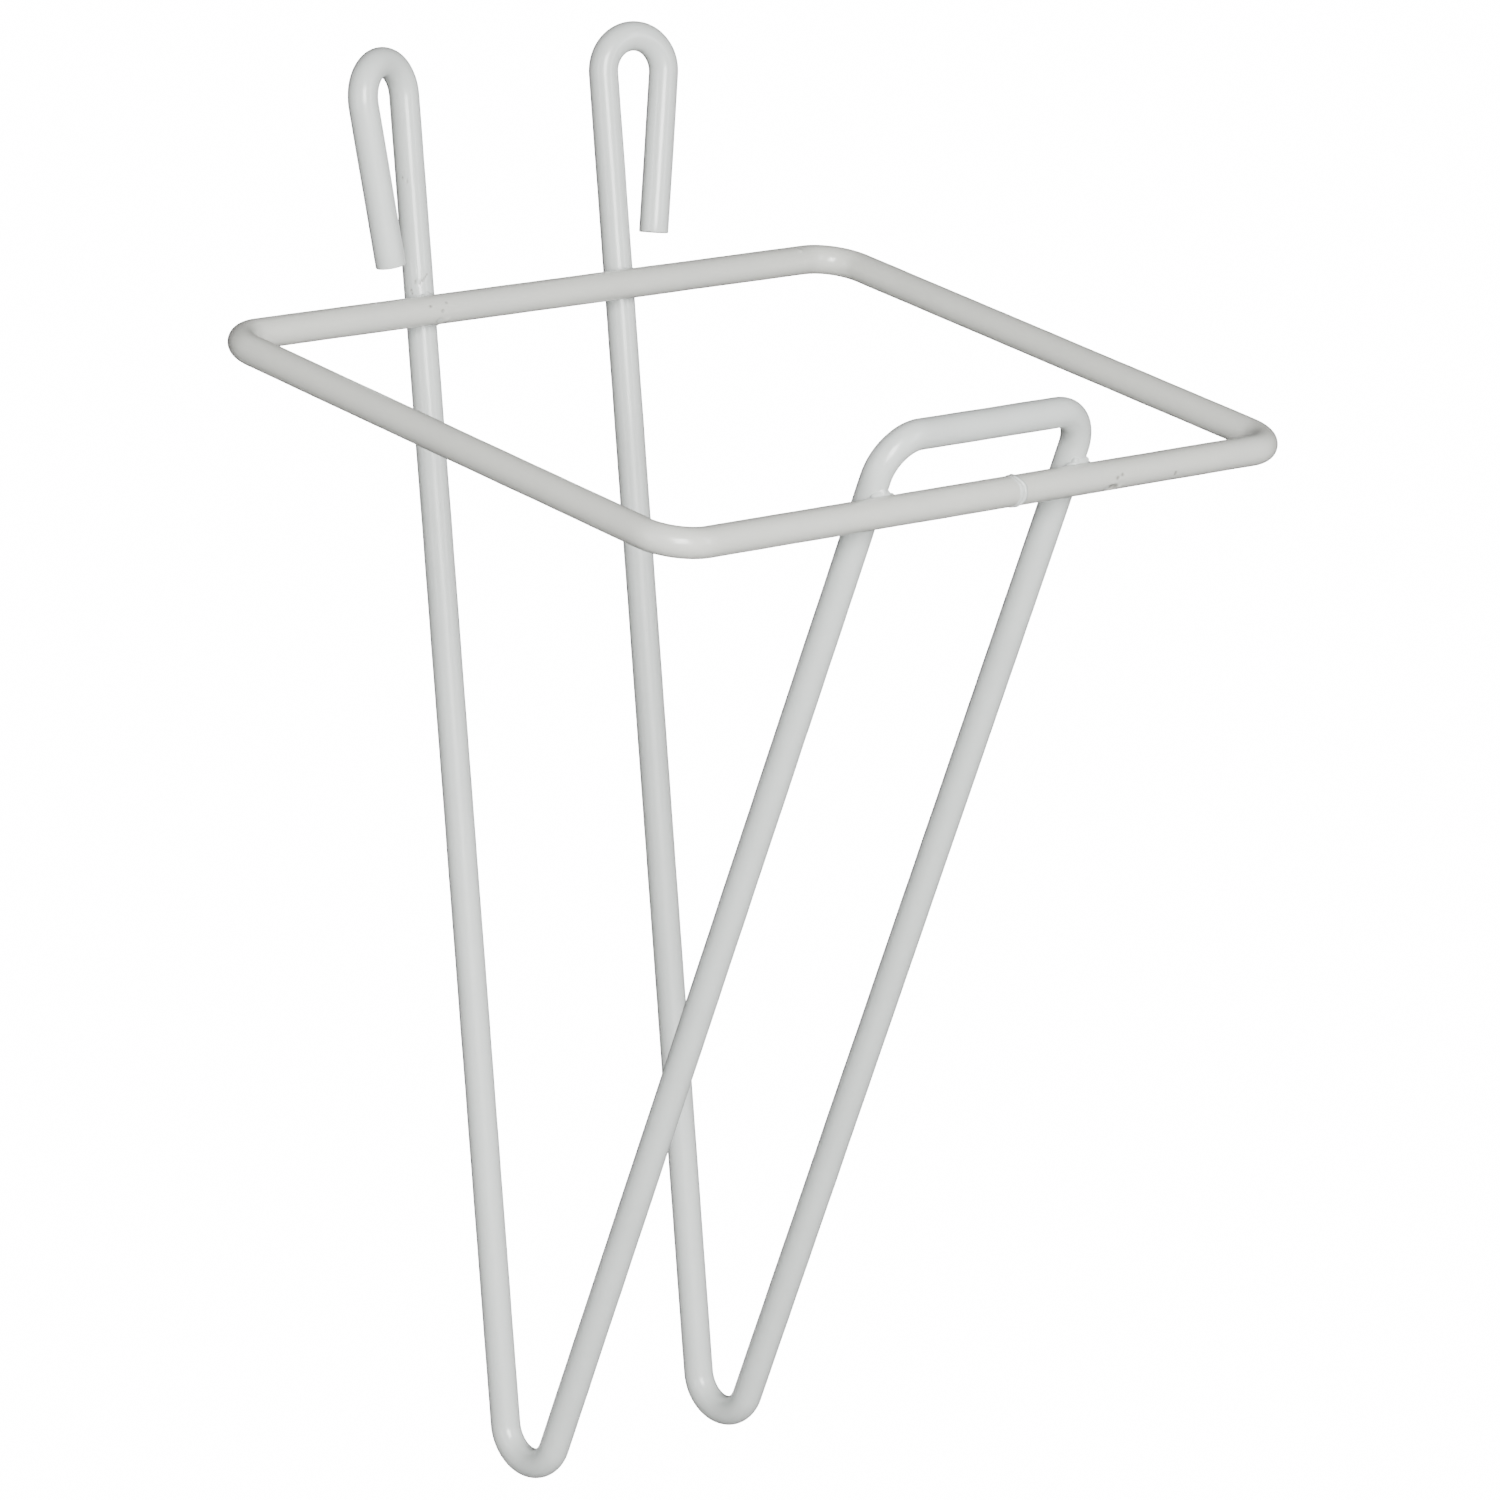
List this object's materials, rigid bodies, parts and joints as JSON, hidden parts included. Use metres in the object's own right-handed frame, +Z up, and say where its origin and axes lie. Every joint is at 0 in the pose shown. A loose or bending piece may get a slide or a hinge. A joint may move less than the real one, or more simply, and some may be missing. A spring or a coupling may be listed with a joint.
{
  "type": "plastic bag holder",
  "caption": "Hook-on bent wire holder with a sloping rectangular hoop that keeps a plastic bag open at a checkout, in pale powder-coated steel.",
  "frame": {"origin": "halfway between the axes of the two legs, level with the centres of the hooks' bends, so what the holder hangs from passes just above it", "axes": "+Z up as it hangs, -Y from the legs towards the person who takes a bag, +X to the right seen from the front"},
  "size_m": [0.1824, 0.1403, 0.3033],
  "materials": {
    "powder_coat": "satin off-white grey powder coat over steel wire"
  },
  "bodies": {
    "root": {"frame_wire": "powder_coat", "hoop_wire": "powder_coat", "rear_left_weld": "powder_coat", "rear_right_weld": "powder_coat", "front_left_weld": "powder_coat", "front_right_weld": "powder_coat", "hoop_butt_weld": "powder_coat"}
  },
  "joints": []
}
